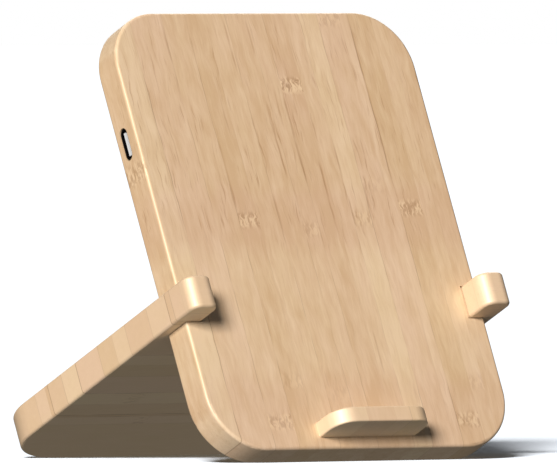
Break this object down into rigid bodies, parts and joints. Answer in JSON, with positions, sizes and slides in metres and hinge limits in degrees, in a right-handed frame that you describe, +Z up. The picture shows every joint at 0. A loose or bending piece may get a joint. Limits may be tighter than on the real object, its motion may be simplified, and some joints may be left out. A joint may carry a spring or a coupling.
{
  "type": "phone stand",
  "caption": "Slot-together bamboo phone stand: a leaning board with a ledge, side guides and a built-in wireless charger, propped by a forked leg.",
  "frame": {"origin": "middle of the footprint box, on the surface that the stand rests on", "axes": "+Z up; the front of the stand, where the phone stands, faces -Y; +X is to the right seen from the front; X = 0 is the middle of the board"},
  "size_m": [0.107, 0.1112, 0.1214],
  "materials": {
    "bamboo": "satin oiled bamboo",
    "cover_plastic": "fine moulded texture",
    "screw_steel": "black zinc",
    "shell_steel": "dark nickel",
    "port_plastic": "moulded",
    "contact_gold": "gilded",
    "pcb_green": "solder mask",
    "chip_black": "moulded epoxy",
    "capacitor_tan": "fired ceramic",
    "ferrite": "sintered",
    "copper": "enamelled copper litz",
    "tape_amber": "adhesive film",
    "foam": "closed-cell foam",
    "thermal_silicone": "silicone pad"
  },
  "bodies": {
    "leg": {"support_leg": "bamboo"},
    "board": {"front_board": "bamboo", "phone_ledge": "bamboo", "ledge_dowels": "bamboo", "back_cover": "cover_plastic", "cover_screws": "screw_steel", "circuit_board": "pcb_green", "pcb_screws": "screw_steel", "thermal_pad": "thermal_silicone", "usb_shell": "shell_steel", "usb_tongue": "port_plastic", "usb_contacts": "contact_gold", "controller_chip": "chip_black", "power_transistors": "chip_black", "resonant_capacitors": "capacitor_tan", "input_capacitors": "capacitor_tan", "buck_inductor": "ferrite", "temperature_sensor": "capacitor_tan", "chip_resistors": "chip_black", "coil_tape": "tape_amber", "ferrite_shield": "ferrite", "foam_spacer": "foam", "transmitter_coil": "copper", "coil_leads": "copper"}
  },
  "joints": [
    {"name": "board_slide", "type": "slide", "parent": "leg", "child": "board", "axis": [0, -0.9081, 0.4187], "range_m": [0, 0.025]}
  ]
}
